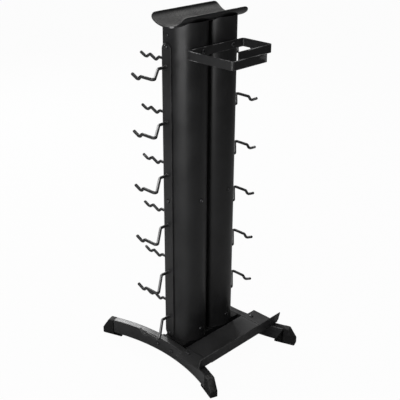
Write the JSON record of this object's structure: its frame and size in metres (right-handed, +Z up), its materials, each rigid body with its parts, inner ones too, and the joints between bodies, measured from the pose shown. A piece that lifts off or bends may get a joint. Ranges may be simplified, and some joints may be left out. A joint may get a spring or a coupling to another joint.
{
  "type": "accessory storage rack",
  "caption": "Free-standing rack: two tall columns on bowed legs, with rows of side and rear hooks, a bar holder, a front tray and a curved trough on top.",
  "frame": {"origin": "on the floor, at the middle of the rack's width and depth", "axes": "+Z up, -Y towards the front where the tray and the bar holder are, +X to the viewer's right when facing the front"},
  "size_m": [0.5972, 0.6372, 1.343],
  "materials": {
    "leg_paint": "satin black powder coat",
    "base_paint": "satin black powder coat",
    "column_paint": "satin black powder coat",
    "strip_paint": "satin black powder coat",
    "hook_paint": "satin black powder coat",
    "trough_paint": "satin black powder coat",
    "holder_paint": "satin black powder coat",
    "tray_paint": "satin black powder coat",
    "foot_rubber": "matte",
    "screw_black": "dark oxide"
  },
  "bodies": {
    "root": {"bar_holder": "holder_paint", "base_cross_member": "base_paint", "column_left": "column_paint", "column_right": "column_paint", "column_screw_left_bottom": "screw_black", "column_screw_left_middle": "screw_black", "column_screw_left_top": "screw_black", "column_screw_right_bottom": "screw_black", "column_screw_right_middle": "screw_black", "column_screw_right_top": "screw_black", "foot_front_left": "foot_rubber", "foot_front_right": "foot_rubber", "foot_rear_left": "foot_rubber", "foot_rear_right": "foot_rubber", "front_tray": "tray_paint", "leg_left": "leg_paint", "leg_right": "leg_paint", "leg_screw_left_front": "screw_black", "leg_screw_left_rear": "screw_black", "leg_screw_right_front": "screw_black", "leg_screw_right_rear": "screw_black", "rear_hook_left_1": "hook_paint", "rear_hook_left_2": "hook_paint", "rear_hook_left_3": "hook_paint", "rear_hook_left_4": "hook_paint", "rear_hook_left_5": "hook_paint", "rear_hook_left_6": "hook_paint", "rear_hook_right_1": "hook_paint", "rear_hook_right_2": "hook_paint", "rear_hook_right_3": "hook_paint", "rear_hook_right_4": "hook_paint", "rear_hook_right_5": "hook_paint", "rear_hook_right_6": "hook_paint", "rear_hook_strip_left": "strip_paint", "rear_hook_strip_right": "strip_paint", "side_hook_left_1": "hook_paint", "side_hook_left_2": "hook_paint", "side_hook_left_3": "hook_paint", "side_hook_left_4": "hook_paint", "side_hook_left_5": "hook_paint", "side_hook_left_6": "hook_paint", "side_hook_right_1": "hook_paint", "side_hook_right_2": "hook_paint", "side_hook_right_3": "hook_paint", "side_hook_right_4": "hook_paint", "side_hook_right_5": "hook_paint", "side_hook_right_6": "hook_paint", "side_hook_strip_left": "strip_paint", "side_hook_strip_right": "strip_paint", "strip_screw_left_bottom": "screw_black", "strip_screw_left_middle": "screw_black", "strip_screw_left_top": "screw_black", "strip_screw_right_bottom": "screw_black", "strip_screw_right_middle": "screw_black", "strip_screw_right_top": "screw_black", "tray_screw_left": "screw_black", "tray_screw_right": "screw_black", "trough": "trough_paint", "trough_screw_left": "screw_black", "trough_screw_right": "screw_black"}
  },
  "joints": []
}
